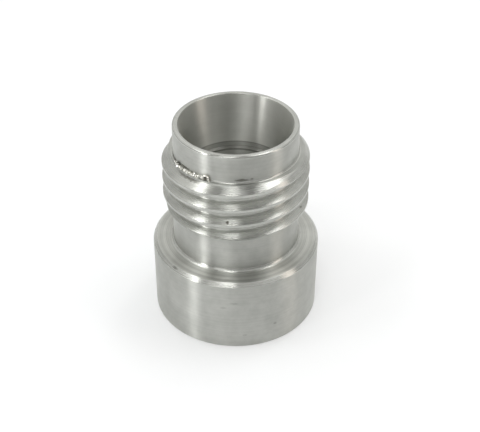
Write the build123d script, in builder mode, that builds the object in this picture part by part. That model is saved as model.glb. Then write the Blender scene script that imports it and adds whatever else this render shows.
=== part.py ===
from build123d import *
import math
import os

# Weld bung: one piece turned from round stainless bar, in millimetres.
# The base of the collar is at Z = 0, the axis is Z, and -Y is the front.
# From the base up: collar, neck (the relief of the thread), male thread, plain lip.
# Inside: a conical seat below the mouth, a ledge, then a plain bore down to the base.

# Collar, the thick end that is welded in, a step wider than the thread
collar_step = 2.5
collar_height = 16.8
collar_top_chamfer = 0.8
collar_base_chamfer = 0.2

# Neck, between the collar and the thread
neck_height = 7.85
neck_clearance = 0.08
neck_foot_fillet = 0.85

# Thread: right-hand, one start, 60 degree flanks, 45 degree shoulder below and chamfer above
thread_radius = 15.0
thread_length = 13.35
thread_pitch = 3.5
thread_flank_angle = 30.0
thread_crest_flat = thread_pitch / 6
thread_root_flat = thread_pitch / 4
thread_top_chamfer = 1.1
top_crest_drop = 1.5

# Lip, the plain ring above the thread
lip_height = 6.0
lip_step = 0.58
lip_wall = 1.1
lip_foot_chamfer = 0.35
rim_outer_chamfer = 0.3
rim_inner_chamfer = 0.15

# Seat and bore
seat_depth = 11.8
seat_half_angle = 7.2
ledge_width = 0.86
bore_base_chamfer = 0.5

# Heights up the axis
neck_top = collar_height + neck_height
thread_top = neck_top + thread_length
lip_top = thread_top + lip_height
seat_bottom = lip_top - seat_depth

# Radii, each from the one that it has to clear
collar_radius = thread_radius + collar_step
flank_slope = math.tan(math.radians(thread_flank_angle))
thread_depth = (thread_pitch - thread_crest_flat - thread_root_flat) / 2 / flank_slope
thread_root_radius = thread_radius - thread_depth
neck_radius = thread_root_radius - neck_clearance
shoulder_top = neck_top + thread_radius - neck_radius
lip_radius = thread_root_radius - lip_step
mouth_radius = lip_radius - lip_wall
seat_bottom_radius = mouth_radius - seat_depth * math.tan(math.radians(seat_half_angle))
bore_radius = seat_bottom_radius - ledge_width

# Thread groove: the tool starts in the neck and leaves above the thread's top face.
# Its outer edge stands proud of the crests, and its turns stay apart there.
tool_overlap = 0.3
tool_reach = thread_radius + tool_overlap
root_half_width = thread_root_flat / 2
reach_half_width = root_half_width + (tool_reach - thread_root_radius) * flank_slope
groove_start = neck_top - thread_pitch / 2
groove_rise = thread_length + thread_pitch
front_azimuth = -90.0
front_groove_height = thread_top - top_crest_drop - thread_pitch / 2
groove_start_azimuth = front_azimuth + 360.0 * (groove_start - front_groove_height) / thread_pitch

match_tolerance = 0.01


def rings(edges: ShapeList, radius: float, height: float) -> ShapeList:
    """Circular edges round the axis with this radius at this height."""
    circles = edges.filter_by(GeomType.CIRCLE)
    same_radius = circles.filter_by(lambda edge: abs(edge.radius - radius) < match_tolerance)
    return same_radius.filter_by(lambda edge: abs(edge.center().Z - height) < match_tolerance)


# Form of the thread tool, carried up its helix
with BuildPart() as thread_tool:
    with BuildLine() as helix:
        Helix(pitch=thread_pitch, height=groove_rise, radius=thread_root_radius)
    with BuildSketch(Plane.XZ) as tool_form:
        with BuildLine():
            Polyline(
                (thread_root_radius, -root_half_width),
                (tool_reach, -reach_half_width),
                (tool_reach, reach_half_width),
                (thread_root_radius, root_half_width),
                close=True,
            )
        make_face()
    sweep(path=helix.line, is_frenet=True)

tool_place = Location((0, 0, groove_start), (0, 0, groove_start_azimuth))
placed_tool = thread_tool.part.moved(tool_place)

# The bung: turned section, edges broken, then the thread cut
with BuildPart() as weld_bung:
    with BuildSketch(Plane.XZ) as section:
        with BuildLine():
            Polyline(
                (bore_radius, 0),
                (collar_radius, 0),
                (collar_radius, collar_height),
                (neck_radius, collar_height),
                (neck_radius, neck_top),
                (thread_radius, shoulder_top),
                (thread_radius, thread_top),
                (lip_radius, thread_top),
                (lip_radius, lip_top),
                (mouth_radius, lip_top),
                (seat_bottom_radius, seat_bottom),
                (bore_radius, seat_bottom),
                close=True,
            )
        make_face()
    revolve(axis=Axis.Z)
    chamfer(rings(weld_bung.edges(), collar_radius, collar_height), length=collar_top_chamfer)
    chamfer(rings(weld_bung.edges(), collar_radius, 0), length=collar_base_chamfer)
    chamfer(rings(weld_bung.edges(), bore_radius, 0), length=bore_base_chamfer)
    chamfer(rings(weld_bung.edges(), thread_radius, thread_top), length=thread_top_chamfer)
    chamfer(rings(weld_bung.edges(), lip_radius, thread_top), length=lip_foot_chamfer)
    chamfer(rings(weld_bung.edges(), lip_radius, lip_top), length=rim_outer_chamfer)
    chamfer(rings(weld_bung.edges(), mouth_radius, lip_top), length=rim_inner_chamfer)
    fillet(rings(weld_bung.edges(), neck_radius, collar_height), radius=neck_foot_fillet)
    add(placed_tool, mode=Mode.SUBTRACT)

weld_bung.part.label = "weld_bung"
os.makedirs("parts", exist_ok=True)
export_step(weld_bung.part, "parts/weld_bung.step")
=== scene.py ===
import logging
import math
import random
from bisect import bisect_right
from dataclasses import dataclass, field
from enum import Enum

import bpy
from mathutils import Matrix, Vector, noise


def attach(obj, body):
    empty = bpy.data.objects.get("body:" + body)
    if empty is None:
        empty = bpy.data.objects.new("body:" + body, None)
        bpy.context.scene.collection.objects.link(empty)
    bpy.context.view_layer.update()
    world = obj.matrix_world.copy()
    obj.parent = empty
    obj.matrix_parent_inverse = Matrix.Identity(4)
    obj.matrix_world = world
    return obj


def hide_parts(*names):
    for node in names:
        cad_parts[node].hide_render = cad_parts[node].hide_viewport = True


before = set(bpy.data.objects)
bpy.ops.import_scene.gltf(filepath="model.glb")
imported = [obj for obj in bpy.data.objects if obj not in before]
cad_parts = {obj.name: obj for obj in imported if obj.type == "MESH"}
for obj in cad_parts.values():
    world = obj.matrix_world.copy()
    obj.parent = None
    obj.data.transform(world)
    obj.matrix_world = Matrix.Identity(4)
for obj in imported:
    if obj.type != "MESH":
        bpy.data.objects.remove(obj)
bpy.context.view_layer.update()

log = logging.getLogger("weld_bung")

Tree = bpy.types.NodeTree
Socket = bpy.types.NodeSocket
Material = bpy.types.Material
Span = tuple[float, float]
Point = tuple[float, float, float]
Points = list[Point]
Faces = list[list[int]]

MM = 0.001
TURN = 360.0

# Kinds of node
MATH = "ShaderNodeMath"
VECTOR_MATH = "ShaderNodeVectorMath"
MAP_RANGE = "ShaderNodeMapRange"
MIX = "ShaderNodeMix"


class Hang(Enum):
    """How a lamp hangs."""

    LEVEL = "level overhead"
    STANDING = "upright, facing the part"


def hex_to_linear(colour: str) -> tuple[float, float, float, float]:
    """Turn an sRGB hex colour into linear RGBA.

    Args:
        colour: Six hex digits after a hash.

    Returns:
        Linear red, green and blue, and an alpha of 1.
    """
    channels = [int(colour[i:i + 2], 16) / 255 for i in (1, 3, 5)]
    linear = [c / 12.92 if c <= 0.04045 else ((c + 0.055) / 1.055) ** 2.4 for c in channels]
    return (*linear, 1.0)


def add_node(tree: Tree, kind: str, inputs: dict | None = None, **settings) -> bpy.types.Node:
    """Add one node with its settings, values and links.

    Args:
        tree: The node tree that gets the node.
        kind: Blender's name for the node type.
        inputs: A value, or an output socket to link, for each input by name or number.
        **settings: Attributes of the node itself.

    Returns:
        The new node.
    """
    node = tree.nodes.new(kind)
    for name, value in settings.items():
        setattr(node, name, value)
    for socket, value in (inputs or {}).items():
        if isinstance(value, Socket):
            tree.links.new(value, node.inputs[socket])
        else:
            node.inputs[socket].default_value = value
    return node


def new_material(name: str) -> Material:
    """Start a material with no nodes.

    Args:
        name: The material's name.

    Returns:
        The new material.
    """
    material = bpy.data.materials.new(name)
    material.use_nodes = True
    material.node_tree.nodes.clear()
    return material


def on_axis(radius: float, azimuth: float, height: float) -> Point:
    """Place a point round the axis.

    Args:
        radius: Distance from the axis, in mm.
        azimuth: Angle from the front towards +X, in degrees.
        height: Height over the base, in mm.

    Returns:
        The point in metres.
    """
    angle = math.radians(azimuth)
    return (radius * math.sin(angle) * MM, -radius * math.cos(angle) * MM, height * MM)


def make_object(
    name: str, verts: Points, faces: Faces, material: Material, crease: float,
) -> bpy.types.Object:
    """Make a smooth-shaded mesh object whose creases stay crisp.

    Args:
        name: The piece's name.
        verts: Points in metres.
        faces: Lists of indices into verts.
        material: The piece's one material.
        crease: Edges that turn by more than this many degrees are sharp.

    Returns:
        The new object, linked to the scene.
    """
    mesh = bpy.data.meshes.new(name)
    mesh.from_pydata(verts, [], faces)
    mesh.validate()
    mesh.shade_smooth()
    mesh.set_sharp_from_angle(angle=math.radians(crease))
    mesh.materials.append(material)
    obj = bpy.data.objects.new(name, mesh)
    bpy.context.scene.collection.objects.link(obj)
    return obj


# Materials

@dataclass(frozen=True)
class StainOrShade:
    """A small dark mark on the steel: a stain or pit, or a patch of painted shade.

    Attributes:
        azimuth: Angle from the front towards +X, in degrees.
        height: Height over the base, in mm.
        radius: Distance from the axis, in mm.
        size: Half-width round the axis, in mm.
        tall: Half-height up the axis, in mm.
        depth: How dark it is, from 0 to 1.
    """

    azimuth: float
    height: float
    radius: float
    size: float
    tall: float
    depth: float


@dataclass(frozen=True)
class TurnedStainless:
    """Stainless steel bar, turned dry with a round-nosed insert and left as it came off the lathe.

    The insert leaves rings a feed apart, 0.1 to 0.2 mm. They run round the axis, so a highlight
    stretches across them: up the walls, and from the middle outwards on the flat faces.

    Attributes:
        light, dark: Colours between which the steel is mottled.
        clean, stain: Colour of the painted light on the shoulder's rings and on the seat, and colour of the
            stains, pits and painted shade.
        roughness, fine_roughness, inside_roughness: Those of the walls, the smooth cuts and the inside.
        seat_painted_light: How far the seat's colour is lifted towards the painted light.
        ring_spread, ring_range: Change of roughness from ring to ring, and the heights that it spans.
        anisotropy: How far a highlight stretches across the rings.
        ring_mm, fine_ring_mm: Spacing of the coarse and the fine rings.
        coarse_share: Height of the coarse rings, where the fine ones have 1.
        ring_height_um: Height of the rings, in thousandths of a millimetre.
        smooth_loss: Share of that height that a light finishing cut takes off.
        drift: Change of a ring on its way round.
        pitch_mm, thread_zone_mm, thread_inside_mm: The thread's pitch, ends and least radius.
        mouth_mm: Radius within which the inside is.
        broken_edges_mm, faced_zone_mm: Heights that hold the broken edges and the shoulder.
        cloud_mm, cloud_range, ring_mottle: Size, noise levels and share of rings of the mottling.
        faced_ring_sheen, faced_range: How strongly sheen is painted into the shoulder's rings, and their noise
            levels.
        seat_zone_mm: Heights that hold the clean seat.
        painted_shade_bands: Ends of each band of painted shade round the seat's foot, and how dark it is.
        ragged_per_mm, ragged_mm: How finely and how far the edges of the stains and of the painted shade are
            torn.
        stain_and_shade_edge: Where a mark begins and where it is darkest, in half-widths.
        stains_and_shades: The small marks: stains and pits, and patches of painted shade.
    """

    light: str = "#C2C3BE"
    dark: str = "#AEAFAA"
    painted_light: str = "#EDEDE6"
    stain_and_shade: str = "#54524A"
    roughness: float = 0.40
    fine_roughness: float = 0.27
    inside_roughness: float = 0.41
    seat_painted_light: float = 0.36
    ring_spread: float = 0.08
    ring_range: Span = (0.4, 1.2)
    anisotropy: float = 0.97
    ring_mm: float = 0.45
    fine_ring_mm: float = 0.16
    coarse_share: float = 0.6
    ring_height_um: float = 0.8
    smooth_loss: float = 0.65
    drift: float = 0.004
    pitch_mm: float = 3.5
    thread_zone_mm: Span = (24.7, 37.95)
    thread_inside_mm: float = 13.05
    mouth_mm: float = 11.6
    broken_edges_mm: tuple[Span, ...] = ((15.95, 16.78), (16.85, 17.7), (38.0, 38.4), (43.6, 44.1))
    cloud_mm: float = 6.0
    cloud_range: Span = (0.48, 0.87)
    ring_mottle: float = 0.35
    faced_zone_mm: Span = (16.785, 16.845)
    faced_ring_sheen: float = 0.21
    faced_range: Span = (0.38, 0.62)
    seat_zone_mm: Span = (33.32, 44.1)
    painted_shade_bands: tuple[tuple[float, float, float], ...] = (
        (31.7, 32.35, 0.56), (32.35, 33.1, 0.28), (33.1, 33.32, 0.50),
    )
    ragged_per_mm: float = 2.2
    ragged_mm: float = 0.5
    stain_and_shade_edge: Span = (1.2, 0.5)
    stains_and_shades: tuple[StainOrShade, ...] = ()

    def make(self) -> Material:
        """Make the material.

        Returns:
            The steel, with its rings, mottling, stains and painted light and shade as nodes.
        """
        material = new_material("turned_stainless_steel")
        tree = material.node_tree
        place = add_node(tree, "ShaderNodeTexCoord").outputs["Object"]
        point = add_node(tree, VECTOR_MATH, {0: place, "Scale": 1 / MM}, operation="SCALE").outputs[0]
        parts = add_node(tree, "ShaderNodeSeparateXYZ", {0: point}).outputs
        flat = add_node(tree, VECTOR_MATH, {0: point, 1: (1, 1, 0)}, operation="MULTIPLY").outputs[0]
        radius = add_node(tree, VECTOR_MATH, {0: flat}, operation="LENGTH").outputs["Value"]
        outside = add_node(
            tree, MATH, {0: radius, 1: self.thread_inside_mm}, operation="GREATER_THAN",
        ).outputs[0]
        between = self._between(tree, parts["Z"], self.thread_zone_mm)
        threaded = add_node(tree, MATH, {0: between, 1: outside}, operation="MULTIPLY").outputs[0]
        track = self._tool_track(tree, parts, flat, radius, threaded)
        # Real feed marks, about 0.15 mm apart, are just under a pixel here, so rings three times as
        # coarse are drawn with them, to show.
        rings = self._rings(tree, track, self.ring_mm)
        fine = self._rings(tree, track, self.fine_ring_mm)
        both = add_node(
            tree, MATH, {0: rings, 1: self.coarse_share, 2: fine}, operation="MULTIPLY_ADD",
        ).outputs[0]
        rough = add_node(tree, MAP_RANGE, {
            "Value": both, "From Min": self.ring_range[0], "From Max": self.ring_range[1],
            "To Min": self.roughness - self.ring_spread / 2, "To Max": self.roughness + self.ring_spread / 2,
        }).outputs["Result"]
        # Light finishing cuts leave the thread and the broken edges smoother than the walls, and
        # a long boring bar chatters a little, which leaves the inside rougher.
        smooth = threaded
        for zone in self.broken_edges_mm:
            edge = self._between(tree, parts["Z"], zone)
            smooth = add_node(tree, MATH, {0: smooth, 1: edge}, operation="ADD").outputs[0]
        inside = add_node(tree, MATH, {0: radius, 1: self.mouth_mm}, operation="LESS_THAN").outputs[0]
        smooth = add_node(tree, MATH, {0: smooth, 1: inside}, operation="SUBTRACT", use_clamp=True).outputs[0]
        for mask, value in ((smooth, self.fine_roughness), (inside, self.inside_roughness)):
            rough = add_node(tree, MATH, {
                0: mask, 1: value - self.roughness, 2: rough,
            }, operation="MULTIPLY_ADD").outputs[0]
        depth = add_node(
            tree, MATH, {0: smooth, 1: -self.smooth_loss, 2: 1.0}, operation="MULTIPLY_ADD",
        ).outputs[0]
        bump = add_node(tree, "ShaderNodeBump", {
            "Strength": depth, "Distance": self.ring_height_um * MM * MM, "Height": both,
        }).outputs["Normal"]
        tangent = add_node(tree, "ShaderNodeTangent", direction_type="RADIAL", axis="Z").outputs["Tangent"]
        colour = self._colour(tree, point, parts["Z"], inside, rings)
        shader = add_node(tree, "ShaderNodeBsdfPrincipled", {
            "Base Color": colour, "Metallic": 1.0, "Roughness": rough, "Anisotropic": self.anisotropy,
            "Anisotropic Rotation": 0.25, "Normal": bump, "Tangent": tangent,
        }, distribution="MULTI_GGX")
        add_node(tree, "ShaderNodeOutputMaterial", {"Surface": shader.outputs["BSDF"]})
        return material

    def _between(self, tree: Tree, value: Socket, zone: Span) -> Socket:
        """Tell whether a value is between two limits.

        Args:
            tree: The material's node tree.
            value: The value.
            zone: Its lowest and highest limit.

        Returns:
            1 between them and 0 elsewhere.
        """
        above = add_node(tree, MATH, {0: value, 1: zone[0]}, operation="GREATER_THAN").outputs[0]
        below = add_node(tree, MATH, {0: value, 1: zone[1]}, operation="LESS_THAN").outputs[0]
        return add_node(tree, MATH, {0: above, 1: below}, operation="MULTIPLY").outputs[0]

    def _tool_track(
        self, tree: Tree, parts: bpy.types.bpy_prop_collection, flat: Socket,
        radius: Socket, threaded: Socket,
    ) -> Socket:
        """Make coordinates that stay the same along the path of the tool.

        On plain faces the path is a ring. On the thread it is the helix, whose phase goes round a
        circle as long as one pitch, so that it meets itself a turn later.

        Args:
            tree: The material's node tree.
            parts: The three parts of the place on the surface, in mm.
            flat: The place on the surface with no height.
            radius: Distance from the axis.
            threaded: 1 on the thread and 0 elsewhere.

        Returns:
            Coordinates in mm across the tool's path.
        """
        # Height less 0.7 of the radius changes across every face that the part has.
        across = add_node(tree, MATH, {0: radius, 1: -0.7, 2: parts["Z"]}, operation="MULTIPLY_ADD").outputs[0]
        drift = add_node(tree, VECTOR_MATH, {0: flat, "Scale": self.drift}, operation="SCALE").outputs[0]
        ring = add_node(tree, "ShaderNodeCombineXYZ", {"X": across}).outputs[0]
        ring = add_node(tree, VECTOR_MATH, {0: ring, 1: drift}, operation="ADD").outputs[0]
        azimuth = add_node(tree, MATH, {0: parts["Y"], 1: parts["X"]}, operation="ARCTAN2").outputs[0]
        phase = add_node(
            tree, MATH, {0: parts["Z"], 1: math.tau / self.pitch_mm}, operation="MULTIPLY",
        ).outputs[0]
        phase = add_node(tree, MATH, {0: phase, 1: azimuth}, operation="SUBTRACT").outputs[0]
        cosine = add_node(tree, MATH, {0: phase}, operation="COSINE").outputs[0]
        sine = add_node(tree, MATH, {0: phase}, operation="SINE").outputs[0]
        helix = add_node(tree, "ShaderNodeCombineXYZ", {"X": cosine, "Y": sine}).outputs[0]
        circle = self.pitch_mm / math.tau
        helix = add_node(tree, VECTOR_MATH, {0: helix, "Scale": circle}, operation="SCALE").outputs[0]
        return add_node(tree, MIX, {"Factor": threaded, 4: ring, 5: helix}, data_type="VECTOR").outputs[1]

    def _rings(self, tree: Tree, track: Socket, spacing: float) -> Socket:
        """Make uneven tool rings.

        Args:
            tree: The material's node tree.
            track: Coordinates in mm across the tool's path.
            spacing: Distance between rings, in mm.

        Returns:
            Height of the rings, from 0 to 1.
        """
        return add_node(tree, "ShaderNodeTexNoise", {
            "Vector": track, "Scale": 1 / spacing, "Detail": 2.0, "Roughness": 0.6,
        }).outputs["Fac"]

    def _colour(
        self, tree: Tree, point: Socket, height: Socket, inside: Socket, rings: Socket,
    ) -> Socket:
        """Mottle the steel, and lay on it the painted sheen, the painted light and shade, and the stains.

        Args:
            tree: The material's node tree.
            point: The place on the surface, in mm.
            height: Its height over the base, in mm.
            inside: 1 on the seat and the bore and 0 elsewhere.
            rings: Height of the rings, from 0 to 1.

        Returns:
            The surface colour.
        """
        cloud = add_node(tree, "ShaderNodeTexNoise", {
            "Vector": point, "Scale": 1 / self.cloud_mm, "Detail": 4.0, "Roughness": 0.68,
        }).outputs["Fac"]
        both = add_node(
            tree, MATH, {0: rings, 1: self.ring_mottle, 2: cloud}, operation="MULTIPLY_ADD",
        ).outputs[0]
        amount = add_node(tree, MAP_RANGE, {
            "Value": both, "From Min": self.cloud_range[0], "From Max": self.cloud_range[1],
        }).outputs["Result"]
        colour = add_node(tree, MIX, {
            "Factor": amount, 6: hex_to_linear(self.dark), 7: hex_to_linear(self.light),
        }, data_type="RGBA").outputs[2]
        # The shoulder was faced with a coarse feed. Its rings are painted lighter and darker, as painted sheen
        # in place of the light that their grooves catch.
        faced = self._between(tree, height, self.faced_zone_mm)
        faced = add_node(tree, MATH, {0: faced, 1: self.faced_ring_sheen}, operation="MULTIPLY").outputs[0]
        line = add_node(tree, MAP_RANGE, {
            "Value": rings, "From Min": self.faced_range[0], "From Max": self.faced_range[1],
        }).outputs["Result"]
        line = add_node(tree, MIX, {
            "Factor": line, 6: hex_to_linear(self.stain_and_shade), 7: hex_to_linear(self.painted_light),
        }, data_type="RGBA").outputs[2]
        colour = add_node(tree, MIX, {"Factor": faced, 6: colour, 7: line}, data_type="RGBA").outputs[2]
        # Painted light lifts the seat towards a brighter colour. Painted shade darkens bands in the
        # corner between it and the bore, and a darker stripe just above them.
        bands = [(*self.seat_zone_mm, self.seat_painted_light, self.painted_light)]
        bands += [(*band, self.stain_and_shade) for band in self.painted_shade_bands]
        for low, high, share, tint in bands:
            band = self._between(tree, height, (low, high))
            for factor in (inside, share):
                band = add_node(tree, MATH, {0: band, 1: factor}, operation="MULTIPLY").outputs[0]
            colour = add_node(tree, MIX, {
                "Factor": band, 6: colour, 7: hex_to_linear(tint),
            }, data_type="RGBA").outputs[2]
        return self._stained_and_shaded(tree, point, colour)

    def _stained_and_shaded(self, tree: Tree, point: Socket, colour: Socket) -> Socket:
        """Lay the small marks on the steel, stains and painted shade alike, with torn edges.

        Args:
            tree: The material's node tree.
            point: The place on the surface, in mm.
            colour: The colour without them.

        Returns:
            The colour with them.
        """
        ragged = add_node(
            tree, "ShaderNodeTexNoise", {"Vector": point, "Scale": self.ragged_per_mm, "Detail": 2.0},
        ).outputs["Color"]
        ragged = add_node(tree, VECTOR_MATH, {0: ragged, 1: (-0.5, -0.5, -0.5)}, operation="ADD").outputs[0]
        ragged = add_node(tree, VECTOR_MATH, {0: ragged, "Scale": self.ragged_mm}, operation="SCALE").outputs[0]
        rough_point = add_node(tree, VECTOR_MATH, {0: point, 1: ragged}, operation="ADD").outputs[0]
        for mark in self.stains_and_shades:
            centre = Vector(on_axis(mark.radius, mark.azimuth, mark.height)) / MM
            offset = add_node(tree, VECTOR_MATH, {0: rough_point, 1: -centre}, operation="ADD").outputs[0]
            squeeze = (1 / mark.size, 1 / mark.size, 1 / mark.tall)
            offset = add_node(tree, VECTOR_MATH, {0: offset, 1: squeeze}, operation="MULTIPLY").outputs[0]
            away = add_node(tree, VECTOR_MATH, {0: offset}, operation="LENGTH").outputs["Value"]
            dark = add_node(tree, MAP_RANGE, {
                "Value": away, "From Min": self.stain_and_shade_edge[0], "From Max": self.stain_and_shade_edge[1],
                "To Max": mark.depth,
            }, interpolation_type="SMOOTHSTEP").outputs["Result"]
            colour = add_node(tree, MIX, {
                "Factor": dark, 6: colour, 7: hex_to_linear(self.stain_and_shade),
            }, data_type="RGBA").outputs[2]
        return colour


@dataclass(frozen=True)
class TornSteel:
    """The same steel where the tool tore it off: bright, rough, duller in its hollows and with no rings."""

    colour: str = "#F4F3EC"
    hollow: str = "#D6D5CE"
    roughness: float = 0.24
    roughness_spread: float = 0.1
    grain_mm: float = 0.25
    grain_height_mm: float = 0.02

    def make(self) -> Material:
        """Make the material.

        Returns:
            Torn steel, darker in its hollows.
        """
        material = new_material("torn_stainless_steel")
        tree = material.node_tree
        place = add_node(tree, "ShaderNodeTexCoord").outputs["Object"]
        grain = add_node(tree, "ShaderNodeTexNoise", {
            "Vector": place, "Scale": 1 / (self.grain_mm * MM), "Detail": 3.0,
        }).outputs["Fac"]
        colour = add_node(tree, MIX, {
            "Factor": grain, 6: hex_to_linear(self.hollow), 7: hex_to_linear(self.colour),
        }, data_type="RGBA").outputs[2]
        rough = add_node(tree, MAP_RANGE, {
            "Value": grain, "To Min": self.roughness - self.roughness_spread,
            "To Max": self.roughness + self.roughness_spread,
        }).outputs["Result"]
        bump = add_node(tree, "ShaderNodeBump", {
            "Strength": 0.6, "Distance": self.grain_height_mm * MM, "Height": grain,
        }).outputs["Normal"]
        shader = add_node(tree, "ShaderNodeBsdfPrincipled", {
            "Base Color": colour, "Metallic": 1.0, "Roughness": rough, "Normal": bump,
        })
        add_node(tree, "ShaderNodeOutputMaterial", {"Surface": shader.outputs["BSDF"]})
        return material


@dataclass(frozen=True)
class StudioPaper:
    """Matt white paper under the part. The camera and the steel see it as white, with the shadow on it.

    Attributes:
        colour: Its colour.
        lift: How much it is lifted to white round the part.
        far_lift: How much it is lifted where the lamps don't reach.
        near_m: Distance at which the lift starts to grow.
        far_m: Distance at which it stops.
    """

    colour: str = "#E6E7E8"
    lift: float = 0.16
    far_lift: float = 0.50
    near_m: float = 0.26
    far_m: float = 0.9

    def make(self) -> Material:
        """Make the material.

        Returns:
            Paper that is lifted to white for camera, glossy and transmission rays.
        """
        material = new_material("studio_paper")
        tree = material.node_tree
        path = add_node(tree, "ShaderNodeLightPath").outputs
        seen = path["Is Camera Ray"]
        for ray in ("Is Glossy Ray", "Is Transmission Ray"):
            seen = add_node(tree, MATH, {0: seen, 1: path[ray]}, operation="MAXIMUM").outputs[0]
        # The lamps don't reach the far end of the paper, so it is lifted more there.
        place = add_node(tree, "ShaderNodeTexCoord").outputs["Object"]
        away = add_node(tree, VECTOR_MATH, {0: place}, operation="LENGTH").outputs["Value"]
        lift = add_node(tree, MAP_RANGE, {
            "Value": away, "From Min": self.near_m, "From Max": self.far_m,
            "To Min": self.lift, "To Max": self.far_lift,
        }, interpolation_type="SMOOTHSTEP").outputs["Result"]
        strength = add_node(tree, MATH, {0: seen, 1: lift}, operation="MULTIPLY").outputs[0]
        paper = add_node(tree, "ShaderNodeBsdfDiffuse", {"Color": hex_to_linear(self.colour)}).outputs[0]
        glow = add_node(tree, "ShaderNodeEmission", {"Color": (1, 1, 1, 1), "Strength": strength}).outputs[0]
        both = add_node(tree, "ShaderNodeAddShader", {0: paper, 1: glow}).outputs[0]
        add_node(tree, "ShaderNodeOutputMaterial", {"Surface": both})
        return material


# The bung

@dataclass(frozen=True)
class Corner:
    """A corner of the turned profile.

    Attributes:
        radius: Distance from the axis, in mm.
        height: Height over the base, in mm.
        round: Radius of the rounding that breaks the corner, in mm.
    """

    radius: float
    height: float
    round: float = 0.0


@dataclass
class MaleThread:
    """Right-hand M30 x 3.5 thread between a 45 degree shoulder and a 45 degree chamfer. Sizes in mm."""

    crest: float = 15.0
    pitch: float = 3.5
    flank_angle: float = 30.0
    crest_flat: float = 3.5 / 6
    root_flat: float = 3.5 / 4
    crest_round: float = 0.11
    root_round: float = 0.16
    bottom: float = 24.65
    top: float = 38.0
    neck: float = 13.152
    top_chamfer: float = 1.1
    front_crest: float = 36.5
    round_steps: int = 6
    flank_steps: int = 5
    search_steps: int = 60
    halvings: int = 18
    form: list[Span] = field(init=False)

    def __post_init__(self) -> None:
        """Work out the thread form of one pitch."""
        self.form = self._form()

    @property
    def root(self) -> float:
        """Radius of the groove's floor."""
        slope = math.tan(math.radians(self.flank_angle))
        return self.crest - (self.pitch - self.crest_flat - self.root_flat) / 2 / slope

    @property
    def rows_per_turn(self) -> int:
        """Rows of the mesh in one pitch."""
        return len(self.form) - 1

    def _form(self) -> list[Span]:
        """Draw the thread form from one groove's middle to the next.

        Returns:
            Offset from the crest's middle and radius, from the lower groove to the upper one.
        """
        half = []
        lean = math.radians(90 - self.flank_angle)
        for flat, rounding, radius, side in (
            (self.crest_flat / 2, self.crest_round, self.crest, -1.0),
            (self.pitch / 2 - self.root_flat / 2, self.root_round, self.root, 1.0),
        ):
            cut = rounding * math.tan(lean / 2)
            for i in range(self.round_steps + 1):
                turn = lean * i / self.round_steps
                if side < 0:
                    offset = flat - cut + rounding * math.sin(turn)
                    half.append((offset, radius - rounding * (1 - math.cos(turn))))
                else:
                    back = lean - turn
                    offset = flat + cut - rounding * math.sin(back)
                    half.append((offset, radius + rounding * (1 - math.cos(back))))
        outer, inner = half[self.round_steps], half[self.round_steps + 1]
        flank = [
            tuple(out + (into - out) * i / self.flank_steps for out, into in zip(outer, inner))
            for i in range(1, self.flank_steps)
        ]
        half = half[:self.round_steps + 1] + flank + half[self.round_steps + 1:]
        upper = [(0.0, self.crest)] + half + [(self.pitch / 2, self.root)]
        lower = [(-offset, radius) for offset, radius in reversed(upper)]
        return lower + upper[1:]

    def groove_radius(self, height: float, azimuth: float) -> float:
        """Work out the radius that the thread tool leaves, with no ends.

        Args:
            height: Height over the base.
            azimuth: Angle from the front, in degrees.

        Returns:
            Distance of the groove or the crest from the axis.
        """
        offset = height - self.front_crest - self.pitch * azimuth / TURN
        offset = (offset + self.pitch / 2) % self.pitch - self.pitch / 2
        i = min(max(bisect_right(self.form, (offset, 1e9)) - 1, 0), len(self.form) - 2)
        (u0, r0), (u1, r1) = self.form[i], self.form[i + 1]
        return r0 + (r1 - r0) * (offset - u0) / (u1 - u0)

    def blank_radius(self, height: float) -> float:
        """Work out the radius of the turned blank, with its shoulder and its chamfer.

        Args:
            height: Height over the base.

        Returns:
            Distance of its wall from the axis.
        """
        shoulder = self.neck + height - self.bottom
        chamfer = self.crest + self.top - self.top_chamfer - height
        return min(self.crest, shoulder, chamfer)

    def radius(self, height: float, azimuth: float) -> float:
        """Radius of the finished thread."""
        return min(self.blank_radius(height), self.groove_radius(height, azimuth))

    def edges(self, azimuth: float) -> list[float]:
        """Find the heights at which the groove meets the shoulder or the chamfer.

        Args:
            azimuth: Angle from the front, in degrees.

        Returns:
            Heights of those edges, and of the blank's own where the crest reaches them.
        """
        found = []
        blank_edges = (self.bottom + self.crest - self.neck, self.top - self.top_chamfer)
        for height in blank_edges:
            if self.groove_radius(height, azimuth) > self.crest - 0.02:
                found.append(height)
        spans = ((self.bottom, blank_edges[0]), (blank_edges[1], self.top))
        steps = self.search_steps
        for low, high in spans:
            heights = [low + (high - low) * i / steps for i in range(steps + 1)]
            gaps = [self.blank_radius(z) - self.groove_radius(z, azimuth) for z in heights]
            for i in range(steps):
                if gaps[i] * gaps[i + 1] < 0:
                    z0, z1 = heights[i], heights[i + 1]
                    for _ in range(self.halvings):
                        middle = (z0 + z1) / 2
                        gap = self.blank_radius(middle) - self.groove_radius(middle, azimuth)
                        z0, z1 = (middle, z1) if gap * gaps[i] > 0 else (z0, middle)
                    found.append(z0)
        return found

    def column(self, azimuth: float) -> tuple[list[Span], set[int]]:
        """Lay the rows of one column of the mesh.

        Each row follows the helix, and is held between the thread's two ends. The row nearest to
        an edge of the thread's ends is moved on to it.

        Args:
            azimuth: Angle from the front, in degrees.

        Returns:
            Radius and height of each row, and the rows that were moved on to an edge.
        """
        turns_down = math.ceil((self.front_crest - self.bottom) / self.pitch) + 2
        turns_up = math.ceil((self.top - self.front_crest) / self.pitch) + 2
        climb = self.pitch * azimuth / TURN
        heights = []
        for turn in range(-turns_down, turns_up):
            for offset, _ in self.form[:-1]:
                height = self.front_crest + turn * self.pitch + offset + climb
                heights.append(min(max(height, self.bottom), self.top))
        moved = set()
        inside = [i for i, z in enumerate(heights) if self.bottom < z < self.top]
        for edge in self.edges(azimuth):
            nearest = min(inside, key=lambda i: abs(heights[i] - edge))
            heights[nearest] = edge
            moved.add(nearest)
        return [(self.radius(z, azimuth), z) for z in heights], moved


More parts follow.
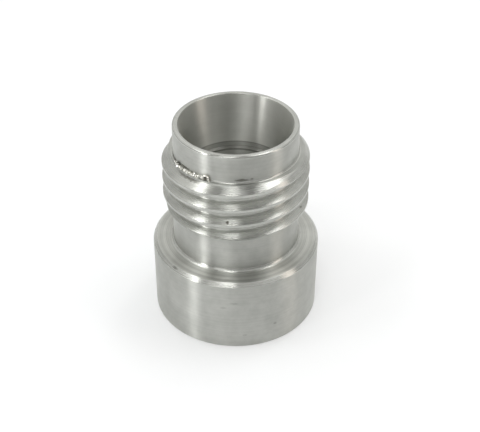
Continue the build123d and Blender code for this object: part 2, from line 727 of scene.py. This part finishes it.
@dataclass
class Bung:
    """The turned bung: collar, neck, thread, lip, conical seat and bore. Sizes in mm."""

    thread: MaleThread = field(default_factory=MaleThread)
    collar: float = 17.5
    collar_height: float = 16.8
    collar_chamfer: float = 0.8
    base_break: float = 0.2
    foot_round: float = 0.85
    lip: float = 12.652
    lip_foot: float = 0.4
    top: float = 44.0
    rim_outer: float = 0.4
    rim_inner: float = 0.15
    mouth: float = 11.552
    seat_depth: float = 11.8
    seat_bottom: float = 10.061
    bore: float = 9.201
    bore_chamfer: float = 0.5
    edge_break: float = 0.1
    columns: int = 360
    arc_step: float = 10.0
    crease: float = 13.0

    def lower_profile(self) -> list[Corner]:
        """List the corners of the profile below the thread.

        Returns:
            The corners from inside the base up to the thread.
        """
        edge = self.edge_break
        return [
            Corner(self.bore + self.bore_chamfer, 0.0, edge),
            Corner(self.collar - self.base_break, 0.0, 0.05),
            Corner(self.collar, self.base_break, 0.1),
            Corner(self.collar, self.collar_height - self.collar_chamfer, edge),
            Corner(self.collar - self.collar_chamfer, self.collar_height, edge),
            Corner(self.thread.neck, self.collar_height, self.foot_round),
            Corner(self.thread.neck, self.thread.bottom),
        ]

    def upper_profile(self) -> list[Corner]:
        """List the corners of the profile above the thread.

        Returns:
            The corners from the thread's top face over the rim and down the bore.
        """
        edge = self.edge_break
        floor = self.top - self.seat_depth
        return [
            Corner(self.thread.root, self.thread.top),
            Corner(self.lip, self.thread.top, self.lip_foot),
            Corner(self.lip, self.top, self.rim_outer),
            Corner(self.mouth, self.top, self.rim_inner),
            Corner(self.seat_bottom, floor, 0.05),
            Corner(self.bore, floor, edge),
            Corner(self.bore, self.bore_chamfer, edge),
            Corner(self.bore + self.bore_chamfer, 0.0, edge),
        ]

    def round_corners(self, corners: list[Corner]) -> list[Span]:
        """Round the corners of a run of the profile.

        Args:
            corners: Its corners. The first and the last stay as they are.

        Returns:
            Radius and height of each point along it.
        """
        points = [(corners[0].radius, corners[0].height)]
        for before, here, after in zip(corners, corners[1:], corners[2:]):
            centre = Vector((here.radius, here.height))
            back = (Vector((before.radius, before.height)) - centre).normalized()
            ahead = (Vector((after.radius, after.height)) - centre).normalized()
            turn = math.pi - back.angle(ahead)
            if here.round <= 0 or turn < 1e-3:
                points.append((here.radius, here.height))
                continue
            cut = here.round * math.tan(turn / 2)
            start, end = centre + back * cut, centre + ahead * cut
            hub = centre + (back + ahead).normalized() * (here.round / math.cos(turn / 2))
            steps = max(3, math.ceil(math.degrees(turn) / self.arc_step))
            first, last = start - hub, end - hub
            for i in range(steps + 1):
                share = i / steps
                arm = (first * math.sin((1 - share) * turn) + last * math.sin(share * turn)) / math.sin(turn)
                points.append(tuple(hub + arm))
        points.append((corners[-1].radius, corners[-1].height))
        return points

    def build(self, material: Material) -> bpy.types.Object:
        """Build the bung's mesh.

        Args:
            material: The steel.

        Returns:
            The piece.
        """
        verts: Points = []
        columns, moved = self._lay_columns(verts)
        faces = self._join_columns(columns, moved)
        piece = make_object("weld_bung_turned", verts, faces, material, self.crease)
        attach(piece, "root")
        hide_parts("weld_bung")
        return piece

    def _lay_columns(self, verts: Points) -> tuple[list[list[int]], list[set[int]]]:
        """Lay the columns of the mesh, and the first one again a turn later.

        Args:
            verts: The bung's points, in metres, to which this adds.

        Returns:
            The points of each column, once round the section from inside the base, and the rows of
            each that were moved on to an edge of the thread's ends.
        """
        # The two runs share the point inside the base, so the second one leaves it out.
        lower = self.round_corners(self.lower_profile())
        upper = self.round_corners(self.upper_profile())[1:-1]
        columns: list[list[int]] = []
        moved: list[set[int]] = []
        for j in range(self.columns):
            azimuth = -TURN / 2 + TURN * j / self.columns
            column = []
            for radius, height in lower:
                verts.append(on_axis(radius, azimuth, height))
                column.append(len(verts) - 1)
            rows, edges = self.thread.column(azimuth)
            last = lower[-1][1]
            for radius, height in rows:
                # Rows that are held at an end of the thread share one point.
                if height > last:
                    verts.append(on_axis(radius, azimuth, height))
                    last = height
                column.append(len(verts) - 1)
            for radius, height in upper:
                verts.append(on_axis(radius, azimuth, height))
                column.append(len(verts) - 1)
            columns.append(column)
            moved.append({len(lower) + i for i in edges})
        # A turn later each row of the thread meets the one that is a pitch higher.
        start, end = len(lower), len(columns[0]) - len(upper)
        shift = self.thread.rows_per_turn
        wrapped = list(columns[0])
        for i in range(start, end):
            wrapped[i] = columns[0][min(i + shift, end - 1)]
        columns.append(wrapped)
        moved.append({i - shift for i in moved[0]})
        return columns, moved

    def _join_columns(self, columns: list[list[int]], moved: list[set[int]]) -> Faces:
        """Span the faces from each column to the next.

        Args:
            columns: The points of each column.
            moved: The rows of each that were moved on to an edge of the thread's ends.

        Returns:
            The faces.
        """
        faces: Faces = []
        count = len(columns[0])
        for j in range(self.columns):
            here, there = columns[j], columns[j + 1]
            for i in range(count):
                k = (i + 1) % count
                corners = [here[i], there[i], there[k], here[k]]
                rising = i in moved[j] and k in moved[j + 1]
                falling = k in moved[j] and i in moved[j + 1]
                # A face is split along an edge of the thread's ends, which then stays sharp.
                splits = [(0, 1, 2, 3)]
                if rising and not falling:
                    splits = [(0, 1, 2), (0, 2, 3)]
                elif falling and not rising:
                    splits = [(0, 1, 3), (1, 2, 3)]
                for split in splits:
                    whole = [corners[n] for n in split]
                    # Corners that fall together count once.
                    face = [corner for n, corner in enumerate(whole) if corner != whole[n - 1]]
                    if len(face) > 2:
                        faces.append(face)
        return faces


@dataclass
class TornBurr:
    """The burr where the thread groove runs out through the top face, left of the front. Sizes in mm.

    The last of the feather edge tore and folded over: a low ragged blade, a string of bright crumbs
    on it and a curl of swarf that stands at its end.
    """

    start: float = -74.0
    end: float = -31.5
    foot: float = 13.04
    foot_height: float = 37.92
    height: float = 0.24
    thickness: float = 0.16
    lean_in: float = 0.10
    stations: int = 240
    crumb_start: float = -64.0
    crumb_end: float = -27.2
    crumb_count: int = 15
    crumb_radius: float = 13.02
    crumb_height: float = 38.42
    crumb_climb: float = 0.26
    crumb_size: Span = (0.24, 0.38)
    crumb_rows: int = 5
    crumb_columns: int = 8
    curl_start: float = -29.6
    curl_end: float = -23.4
    curl_radius: float = 13.0
    curl_foot: float = 37.95
    curl_rise: float = 1.26
    curl_thickness: float = 0.24
    curl_steps: int = 26
    curl_sides: int = 8
    crease: float = 24.0
    seed: int = 64

    def build(self, material: Material) -> bpy.types.Object:
        """Build the burr.

        Args:
            material: The torn steel.

        Returns:
            The piece.
        """
        draw = random.Random(self.seed)
        verts: Points = []
        faces: Faces = []
        self._blade(verts, faces)
        for i in range(self.crumb_count):
            share = (i + draw.uniform(0.2, 0.8)) / self.crumb_count
            azimuth = self.crumb_start + (self.crumb_end - self.crumb_start) * share
            radius = self.crumb_radius + draw.uniform(-0.08, 0.14)
            height = self.crumb_height + self.crumb_climb * share * share + draw.uniform(-0.12, 0.12)
            size = draw.uniform(*self.crumb_size)
            self._crumb(verts, faces, Vector(on_axis(radius, azimuth, height)), size, draw)
        self._curl(verts, faces, draw)
        piece = make_object("thread_burr", verts, faces, material, self.crease)
        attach(piece, "root")
        return piece

    def _blade(self, verts: Points, faces: Faces) -> None:
        """Add the low ragged blade of the feather edge.

        Args:
            verts: The burr's points, in metres.
            faces: The burr's faces.
        """
        levels = (0.0, 0.25, 0.5, 0.75, 1.0)
        ring = len(levels) * 2
        for s in range(self.stations + 1):
            share = s / self.stations
            azimuth = self.start + (self.end - self.start) * share
            # The blade fades in over a quarter of its length and out over an eighth.
            fade = min(1.0, share * 4, (1 - share) * 8)
            coarse = noise.noise(Vector((azimuth * 0.9, 3.1, 0.0)))
            tooth = coarse + 0.6 * noise.noise(Vector((azimuth * 2.3, 8.7, 0.0)))
            tall = max(self.height * (1.0 + 0.9 * tooth), 0.12) * fade + 0.05
            for side in (1, -1):
                for level in (levels if side > 0 else reversed(levels)):
                    wave = noise.noise(Vector((azimuth * 1.1, level * 2.0, 5.0 * side)))
                    inward = self.lean_in * level * (1 + tooth) - 0.10 * wave * (0.3 + level)
                    thick = self.thickness * (1.15 - level) * (1 + 0.5 * wave)
                    radius = self.foot - inward + side * thick / 2
                    place = self.foot_height + tall * level + 0.05 * wave * level
                    verts.append(on_axis(radius, azimuth + 0.5 * wave * level, place))
        for s in range(self.stations):
            for i in range(ring):
                k = (i + 1) % ring
                faces.append([s * ring + i, (s + 1) * ring + i, (s + 1) * ring + k, s * ring + k])
        faces.append(list(range(ring)))
        faces.append([self.stations * ring + i for i in reversed(range(ring))])

    def _curl(self, verts: Points, faces: Faces, draw: random.Random) -> None:
        """Add the curl of swarf, a ragged rod bent to an arch.

        Args:
            verts: The burr's points, in metres.
            faces: The burr's faces.
            draw: The source of its raggedness.
        """
        first = len(verts)
        steps, sides = self.curl_steps, self.curl_sides
        middle = (self.curl_start + self.curl_end) / 2
        half = (self.curl_end - self.curl_start) / 2
        for s in range(steps + 1):
            turn = math.pi * s / steps
            azimuth = middle - half * math.cos(turn)
            height = self.curl_foot + self.curl_rise * max(math.sin(turn), 0.0) ** 0.8
            thick = self.curl_thickness * (0.75 + 0.25 * math.sin(turn)) * draw.uniform(0.85, 1.15)
            for c in range(sides):
                around = math.tau * c / sides
                reach = thick * draw.uniform(0.85, 1.15) * math.cos(around)
                swing = reach / self.curl_radius * math.cos(turn)
                verts.append(on_axis(
                    self.curl_radius + thick * math.sin(around),
                    azimuth - math.degrees(swing),
                    height + reach * math.sin(turn),
                ))
        for s in range(steps):
            for c in range(sides):
                k = (c + 1) % sides
                here, there = first + s * sides, first + (s + 1) * sides
                faces.append([here + c, here + k, there + k, there + c])
        faces.append([first + c for c in reversed(range(sides))])
        faces.append([first + steps * sides + c for c in range(sides)])

    def _crumb(
        self, verts: Points, faces: Faces, centre: Vector, size: float, draw: random.Random,
    ) -> None:
        """Add one torn crumb to the burr.

        Args:
            verts: The burr's points, in metres.
            faces: The burr's faces.
            centre: Where the crumb is, in metres.
            size: Its half-width, in mm.
            draw: The source of its raggedness.
        """
        start = len(verts)
        rows, cols = self.crumb_rows, self.crumb_columns
        stretch = Vector((draw.uniform(0.7, 1.4), draw.uniform(0.7, 1.4), draw.uniform(0.6, 1.2)))
        for r in range(rows + 1):
            tilt = math.pi * r / rows
            for c in range(cols if 0 < r < rows else 1):
                turn = math.tau * c / cols
                arm = Vector((math.sin(tilt) * math.cos(turn), math.sin(tilt) * math.sin(turn), math.cos(tilt)))
                reach = size * MM * draw.uniform(0.7, 1.25)
                verts.append(tuple(centre + arm * stretch * reach))
        for c in range(cols):
            k = (c + 1) % cols
            faces.append([start, start + 1 + c, start + 1 + k])
            bottom = start + 1 + (rows - 1) * cols
            faces.append([bottom, bottom - cols + k, bottom - cols + c])
            for r in range(rows - 2):
                a = start + 1 + r * cols
                faces.append([a + c, a + cols + c, a + cols + k, a + k])


# Studio

@dataclass(frozen=True)
class Softbox:
    """A plain rectangular lamp that faces the part.

    Attributes:
        name: Its name.
        place: Its middle, in metres.
        size: Its width and length, in metres.
        radiance: How bright it looks, where 1 is white.
        colour: Its colour.
        hang: How it hangs.
    """

    name: str
    place: Point
    size: Span
    radiance: float
    colour: str = "#FFFFFF"
    hang: Hang = Hang.LEVEL

    def build(self) -> None:
        """Hang the lamp."""
        data = bpy.data.lights.new(self.name, "AREA")
        data.shape = "RECTANGLE"
        data.size, data.size_y = self.size
        data.energy = self.radiance * math.pi * self.size[0] * self.size[1]
        data.color = hex_to_linear(self.colour)[:3]
        lamp = bpy.data.objects.new(self.name, data)
        bpy.context.scene.collection.objects.link(lamp)
        lamp.location = self.place
        if self.hang is Hang.STANDING:
            towards = -Vector((self.place[0], self.place[1], 0.0))
            lamp.rotation_euler = towards.to_track_quat("-Z", "Y").to_euler()


@dataclass
class Studio:
    """A plain pale floor, plain soft lamps and the camera at the photograph's angle.

    The air's levels are those overhead, high up, at the horizon, and low at the back and the front.
    """

    floor_radius: float = 3.0
    floor_sides: int = 96
    lens: float = 74.76
    sensor: float = 36.0
    camera_place: Point = (0.0, -0.16872, 0.14605)
    camera_pitch: float = 53.46
    camera_yaw: float = -0.206
    camera_roll: float = -0.12
    air: str = "#FFFFFD"
    air_horizon: float = 0.97
    air_high: float = 1.0
    air_top: float = 0.08
    air_low_back: float = 0.62
    air_low_front: float = 0.13
    air_front: Point = (0.24, -0.97, 0.0)
    softboxes: tuple[Softbox, ...] = (
        Softbox("overhead_left", (-0.40, -0.05, 0.60), (0.18, 0.14), 5.6),
        Softbox("overhead_left_back", (-0.34, 0.12, 0.60), (0.14, 0.18), 1.8),
        Softbox("overhead_right", (0.138, 0.12, 0.60), (0.10, 0.10), 8.5),
        Softbox("overhead_right_back", (0.19, 0.22, 0.60), (0.08, 0.09), 6.5),
        Softbox("overhead_right_side", (0.27, 0.04, 0.60), (0.17, 0.14), 3.8),
        Softbox("overhead_middle", (-0.04, 0.06, 0.60), (0.13, 0.16), 2.2),
        Softbox("overhead_front", (-0.08, -0.32, 0.60), (0.14, 0.13), 8.0),
        Softbox("overhead_front_left", (-0.18, -0.27, 0.60), (0.06, 0.10), 4.0),
        Softbox("side_left", (-0.484, -0.354, 0.22), (0.09, 0.43), 5.7, hang=Hang.STANDING),
        Softbox("front_left", (-0.254, -0.544, 0.28), (0.23, 0.30), 1.45, hang=Hang.STANDING),
        Softbox("side_right", (0.577, -0.165, 0.32), (0.18, 0.43), 1.8, "#FFF3EA", Hang.STANDING),
        Softbox("back_wall", (0.0, 0.60, 0.49), (0.87, 0.35), 0.4, hang=Hang.STANDING),
    )

    def build(self) -> None:
        """Lay the floor, hang the lamps, set the world and place the camera."""
        self._floor()
        for softbox in self.softboxes:
            softbox.build()
        self._world()
        self._camera()

    def _floor(self) -> None:
        """Lay a round pale floor just under the part."""
        count = self.floor_sides
        verts = [on_axis(self.floor_radius / MM, TURN * i / count, -0.01) for i in range(count)]
        floor = make_object("studio_floor", verts, [list(reversed(range(count)))], StudioPaper().make(), 30.0)

    def _world(self) -> None:
        """Light the part from all round with plain pale air, darker overhead and low down at the front."""
        world = bpy.data.worlds.new("studio_air")
        world.use_nodes = True
        tree = world.node_tree
        tree.nodes.clear()
        way = add_node(tree, "ShaderNodeTexCoord").outputs["Generated"]
        up = add_node(tree, "ShaderNodeSeparateXYZ", {0: way}).outputs["Z"]
        ahead = add_node(
            tree, VECTOR_MATH, {0: way, 1: self.air_front}, operation="DOT_PRODUCT",
        ).outputs["Value"]
        level = self.air_low_back
        # Each step is the direction, its limits and the level beyond them.
        for value, low, high, beyond in (
            (ahead, -0.1, 0.5, self.air_low_front),
            (up, 0.16, 0.05, self.air_horizon),
            (up, 0.45, 0.70, self.air_high),
            (up, 0.86, 0.97, self.air_top),
        ):
            share = add_node(tree, MAP_RANGE, {
                "Value": value, "From Min": low, "From Max": high,
            }, interpolation_type="SMOOTHSTEP").outputs["Result"]
            level = add_node(tree, MIX, {"Factor": share, 2: level, 3: beyond}).outputs[0]
        colour = hex_to_linear(self.air)
        air = add_node(tree, "ShaderNodeBackground", {"Color": colour, "Strength": level}).outputs[0]
        add_node(tree, "ShaderNodeOutputWorld", {"Surface": air})
        bpy.context.scene.world = world

    def _camera(self) -> None:
        """Place the camera where the photograph was taken from."""
        data = bpy.data.cameras.new("camera")
        data.sensor_fit = "HORIZONTAL"
        data.sensor_width = self.sensor
        data.lens = self.lens
        data.clip_start, data.clip_end = 0.01, 10.0
        camera = bpy.data.objects.new("camera", data)
        bpy.context.scene.collection.objects.link(camera)
        camera.location = self.camera_place
        # Pitch is from straight down, so 90 degrees would be level.
        angles = (self.camera_pitch, self.camera_roll, self.camera_yaw)
        camera.rotation_euler = tuple(math.radians(angle) for angle in angles)
        bpy.context.scene.camera = camera


def main() -> None:
    """Build the studio and the part in order, and report each piece."""
    logging.basicConfig(level=logging.INFO, format="%(message)s")
    scene = bpy.context.scene
    scene.view_settings.view_transform = "Standard"
    Studio().build()
    stains_and_shades = (
        # Residue and nicks along the lip's foot, and faint painted shade over its front
        StainOrShade(5.2, 38.80, 12.66, 1.5, 0.32, 0.72),
        StainOrShade(14.0, 38.86, 12.66, 0.4, 0.24, 0.60),
        StainOrShade(13.0, 41.0, 12.66, 7.5, 3.6, 0.14),
        # Painted shade in the gap behind the burr, painted shadow under it, and painted shade in the eye of its
        # curl
        StainOrShade(-70.0, 38.20, 12.78, 2.8, 0.16, 0.90),
        StainOrShade(-55.0, 38.80, 12.66, 2.4, 0.15, 0.80),
        StainOrShade(-50.0, 37.36, 13.75, 2.4, 0.24, 0.60),
        StainOrShade(-38.5, 37.40, 13.70, 1.9, 0.26, 0.62),
        StainOrShade(-26.9, 38.44, 12.70, 0.56, 0.56, 0.97),
        # Pits in the thread's crests
        StainOrShade(-6.5, 30.07, 14.41, 0.34, 0.52, 0.97),
        StainOrShade(67.1, 27.45, 14.25, 0.36, 0.26, 0.65),
        # Faint marks on the collar
        StainOrShade(-46.8, 16.47, 17.03, 0.8, 0.22, 0.50),
        StainOrShade(-1.3, 11.86, 17.5, 0.9, 0.30, 0.22),
        StainOrShade(-8.3, 10.62, 17.5, 0.7, 0.30, 0.20),
        StainOrShade(27.7, 4.82, 17.5, 0.4, 0.30, 0.35),
        StainOrShade(6.2, 3.21, 17.5, 0.5, 0.25, 0.25),
    )
    steel = TurnedStainless(stains_and_shades=stains_and_shades).make()
    torn = TornSteel().make()
    for piece in (Bung().build(steel), TornBurr().build(torn)):
        log.info("%s: %d points, %d faces", piece.name, len(piece.data.vertices), len(piece.data.polygons))


if __name__ == "__main__":
    main()
